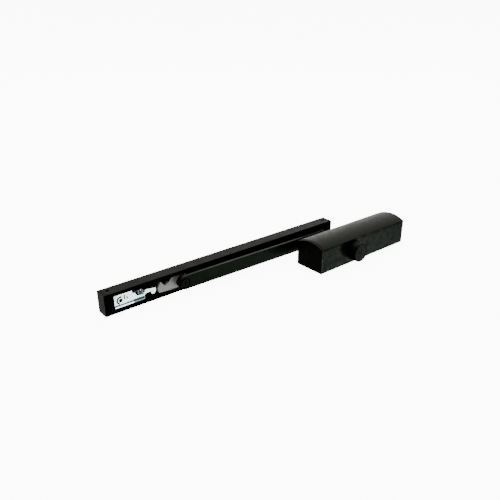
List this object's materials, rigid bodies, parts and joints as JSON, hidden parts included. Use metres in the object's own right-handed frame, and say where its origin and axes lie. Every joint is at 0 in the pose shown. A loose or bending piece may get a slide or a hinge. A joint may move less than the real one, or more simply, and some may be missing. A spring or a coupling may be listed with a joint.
{
  "type": "door closer",
  "caption": "Overhead door closer with arched cover, flat cranked arm and slide track with a hold-open catch, lying on its mounting faces.",
  "frame": {"origin": "on the closer body's mounting face, below the pinion's axis and midway across the body", "axes": "+X along the body towards its spring end, +Y from the body to the arm and track, +Z away from the mounting faces"},
  "size_m": [0.522, 0.131, 0.0479],
  "materials": {
    "black_casting": "satin black anodised",
    "black_cover": "satin black anodised",
    "black_track": "satin black anodised",
    "black_track_caps": "fine moulded grain",
    "black_cap": "fine moulded grain",
    "black_arm": "satin black paint",
    "black_screws": "black oxide",
    "zinc_steel": "bright zinc plate",
    "bearing_steel": "ground",
    "piston_steel": "turned",
    "spring_steel": "oiled drawn wire",
    "plug_alloy": "turned",
    "brass": "turned",
    "white_nylon": "moulded natural nylon",
    "seal_rubber": "moulded"
  },
  "bodies": {
    "closer_body": {"body_casting": "black_casting", "arched_cover": "black_cover", "left_end_plate": "black_cover", "right_end_plate": "black_cover", "end_plate_screws": "black_screws", "left_end_plug": "plug_alloy", "right_end_plug": "plug_alloy", "end_plug_seals": "seal_rubber", "valve_seals": "seal_rubber", "bearing_shells": "bearing_steel", "bearing_needles": "bearing_steel", "bearing_retainers": "plug_alloy", "spindle_seals": "seal_rubber", "closing_spring": "spring_steel"},
    "spindle_and_arm": {"spindle": "bearing_steel", "spindle_cap": "black_cap", "arm": "black_arm", "arm_washer": "zinc_steel", "arm_screw": "black_screws", "pivot_stud": "bearing_steel", "pivot_spacer": "black_cap", "pivot_screw": "black_screws"},
    "piston": {"piston": "piston_steel", "check_valve_ball": "bearing_steel", "check_valve_retainer": "brass"},
    "slider": {"slider_block": "white_nylon"},
    "track": {"track_profile": "black_track", "left_track_cap": "black_track_caps", "right_track_cap": "black_track_caps", "end_buffer": "seal_rubber", "hold_open_bracket": "zinc_steel", "clamp_nut": "zinc_steel", "bracket_rivet": "zinc_steel", "catch_pivot_pin": "zinc_steel", "catch_spring": "spring_steel"},
    "catch": {"catch_lever": "zinc_steel", "roller_pin": "zinc_steel"},
    "catch_roller": {"catch_roller": "bearing_steel"},
    "clamp_screw": {"clamp_screw": "zinc_steel"},
    "closing_valve": {"closing_valve": "brass"},
    "latching_valve": {"latching_valve": "brass"},
    "adjuster_screw": {"adjuster_screw": "zinc_steel"},
    "spring_seat": {"spring_seat": "piston_steel"}
  },
  "joints": [
    {"name": "arm_swing", "type": "hinge", "parent": "closer_body", "child": "spindle_and_arm", "pos_m": [0, 0.03, 0.02075], "axis": [0, 1, 0], "range_deg": [0, 165], "stiffness_Nm_per_rad": 2.1, "springref_deg": -114.59},
    {"name": "piston_travel", "type": "slide", "parent": "closer_body", "child": "piston", "axis": [1, 0, 0], "range_m": [-0.0001, 0.0262], "deforming": ["closing_spring"]},
    {"name": "slider_pivot", "type": "hinge", "parent": "spindle_and_arm", "child": "slider", "pos_m": [-0.2715, 0.075, 0.01625], "axis": [0, 1, 0], "range_deg": [-120, 120]},
    {"name": "track_travel", "type": "slide", "parent": "slider", "child": "track", "axis": [-1, 0, 0], "range_m": [-0.0015, 0.289]},
    {"name": "catch_lift", "type": "hinge", "parent": "track", "child": "catch", "pos_m": [-0.338, 0.076, 0.0203], "axis": [0, -1, 0], "range_deg": [0, 18], "stiffness_Nm_per_rad": 0.05, "springref_deg": -34.38},
    {"name": "roller_spin", "type": "hinge", "parent": "catch", "child": "catch_roller", "pos_m": [-0.3163, 0.0765, 0.0128], "axis": [0, 1, 0], "continuous": true},
    {"name": "clamp_turn", "type": "hinge", "parent": "track", "child": "clamp_screw", "pos_m": [-0.3683, 0.078, 0.017], "axis": [0, 1, 0], "range_deg": [-360, 0]},
    {"name": "closing_valve_turn", "type": "hinge", "parent": "closer_body", "child": "closing_valve", "pos_m": [-0.03, 0.0205, 0.03], "axis": [0, 0, 1], "range_deg": [-180, 540]},
    {"name": "latching_valve_turn", "type": "hinge", "parent": "closer_body", "child": "latching_valve", "pos_m": [-0.044, 0.0205, 0.03], "axis": [0, 0, 1], "range_deg": [-180, 540]},
    {"name": "strength_turn", "type": "hinge", "parent": "closer_body", "child": "adjuster_screw", "pos_m": [0.12, 0, 0.02075], "axis": [1, 0, 0], "range_deg": [0, 1440]},
    {"name": "seat_travel", "type": "slide", "parent": "closer_body", "child": "spring_seat", "axis": [-1, 0, 0], "range_m": [-0.00005, 0.00505], "deforming": ["closing_spring"]}
  ],
  "couplings": [
    {"joint": "piston_travel", "follows": "arm_swing", "m_per_rad": 0.009},
    {"joint": "seat_travel", "follows": "strength_turn", "m_per_rad": 0.00019894}
  ]
}
